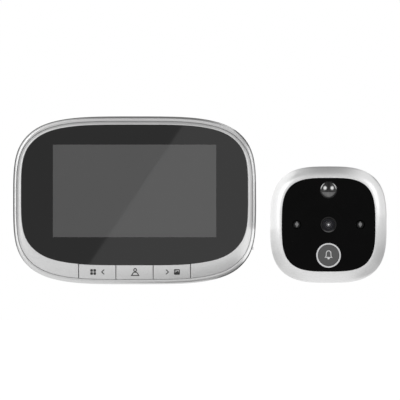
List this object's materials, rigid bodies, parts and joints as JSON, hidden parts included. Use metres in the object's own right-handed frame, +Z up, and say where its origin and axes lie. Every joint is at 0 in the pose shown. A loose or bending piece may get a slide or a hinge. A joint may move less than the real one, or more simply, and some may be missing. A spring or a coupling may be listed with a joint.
{
  "type": "digital door peephole",
  "caption": "Digital door peephole: an indoor screen unit that hangs on a door bracket, and an outdoor camera unit with a bell button, shown side by side.",
  "frame": {"origin": "centre of the bracket's two screw holes, on the axis of the barrel nut, in the plane of the door's face", "axes": "+X to the right and along the set, +Y into the door, +Z up; both fronts face -Y"},
  "size_m": [0.2179, 0.0587, 0.0978],
  "materials": {
    "silver_satin_plastic": "moulded plastic with satin silver paint",
    "tinted_glass": "polished, tinted nearly black",
    "black_gloss_plastic": "high gloss moulded",
    "dark_matte_plastic": "moulded, fine texture",
    "foam": "soft closed-cell foam",
    "rubber_seal": "moulded silicone",
    "lcd_glass": "matt polarising film on glass",
    "white_plastic": "moulded",
    "circuit_board": "glass-filled resin with green solder mask",
    "chip_resin": "moulded resin",
    "plated_steel": "nickel plated",
    "bracket_steel": "zinc plated sheet",
    "nickelled_brass": "turned and nickel plated",
    "speaker_paper": "coated film",
    "battery_jacket": "steel can in a printed-free plastic jacket",
    "dome_plastic": "moulded, mirror-like dark tint",
    "lamp_epoxy": "clear dark epoxy",
    "lens_glass": "coated, polished",
    "chromed_plastic": "chrome plated",
    "grey_button_plastic": "satin moulded"
  },
  "bodies": {
    "door_side": {"door_bracket": "bracket_steel", "bell_ring": "chromed_plastic", "bell_switch": "plated_steel", "camera_barrel": "dark_matte_plastic", "camera_holder": "dark_matte_plastic", "camera_lens": "lens_glass", "camera_ring": "chromed_plastic", "infrared_led_left": "lamp_epoxy", "infrared_led_right": "lamp_epoxy", "mounting_foam": "foam", "outdoor_board": "circuit_board", "outdoor_cover": "dark_matte_plastic", "outdoor_face": "black_gloss_plastic", "outdoor_frame": "silver_satin_plastic", "outdoor_ribbon_socket": "dark_matte_plastic", "outdoor_screws": "plated_steel", "picture_sensor": "chip_resin", "pir_lens": "dome_plastic", "pir_sensor": "plated_steel", "threaded_stub": "nickelled_brass", "weather_seal": "rubber_seal"},
    "nut": {"barrel_nut": "nickelled_brass"},
    "screen_unit": {"rear_shell": "silver_satin_plastic", "front_frame": "silver_satin_plastic", "window_glass": "tinted_glass", "screen_gasket": "foam", "lcd_panel": "lcd_glass", "lcd_backlight": "white_plastic", "main_board": "circuit_board", "board_chips": "chip_resin", "key_switches": "plated_steel", "ribbon_socket": "dark_matte_plastic", "speaker_basket": "dark_matte_plastic", "speaker_cone": "speaker_paper", "card_socket": "plated_steel", "usb_socket": "plated_steel", "power_switch_body": "plated_steel", "contact_bridge": "plated_steel", "contact_negative": "plated_steel", "contact_positive": "plated_steel", "case_screws": "plated_steel", "board_screws": "plated_steel", "battery_cell_1": "battery_jacket", "battery_cell_2": "battery_jacket", "battery_cell_3": "battery_jacket", "battery_cell_4": "battery_jacket"},
    "key_menu_left": {"key_menu_left": "silver_satin_plastic", "plunger_menu_left": "dark_matte_plastic"},
    "key_view": {"key_view": "silver_satin_plastic", "plunger_view": "dark_matte_plastic"},
    "key_right_album": {"key_right_album": "silver_satin_plastic", "plunger_right_album": "dark_matte_plastic"},
    "battery_door": {"battery_door": "silver_satin_plastic"},
    "power_knob": {"power_knob": "dark_matte_plastic"},
    "memory_card": {"memory_card": "dark_matte_plastic"},
    "bell_button": {"bell_button": "grey_button_plastic", "bell_plunger": "dark_matte_plastic"}
  },
  "joints": [
    {"name": "lift_off_hooks", "type": "slide", "parent": "door_side", "child": "screen_unit", "axis": [0, 0, 1], "range_m": [0, 0.0042]},
    {"name": "nut_turn", "type": "hinge", "parent": "door_side", "child": "nut", "pos_m": [0, 0, 0], "axis": [0, 1, 0], "continuous": true},
    {"name": "battery_door_swing", "type": "hinge", "parent": "screen_unit", "child": "battery_door", "pos_m": [0, -0.001, -0.0232], "axis": [1, 0, 0], "range_deg": [0, 35]},
    {"name": "power_slide", "type": "slide", "parent": "screen_unit", "child": "power_knob", "axis": [0, 0, 1], "range_m": [0, 0.002]},
    {"name": "card_slide", "type": "slide", "parent": "screen_unit", "child": "memory_card", "axis": [1, 0, 0], "range_m": [0, 0.01]},
    {"name": "bell_press", "type": "slide", "parent": "door_side", "child": "bell_button", "axis": [0, 1, 0], "range_m": [0, 0.0005], "stiffness_N_per_m": 500, "springref_m": -0.002},
    {"name": "key_menu_left_press", "type": "slide", "parent": "screen_unit", "child": "key_menu_left", "axis": [0, 1, 0], "range_m": [0, 0.00035], "stiffness_N_per_m": 500, "springref_m": -0.002},
    {"name": "key_view_press", "type": "slide", "parent": "screen_unit", "child": "key_view", "axis": [0, 1, 0], "range_m": [0, 0.00035], "stiffness_N_per_m": 500, "springref_m": -0.002},
    {"name": "key_right_album_press", "type": "slide", "parent": "screen_unit", "child": "key_right_album", "axis": [0, 1, 0], "range_m": [0, 0.00035], "stiffness_N_per_m": 500, "springref_m": -0.002}
  ]
}
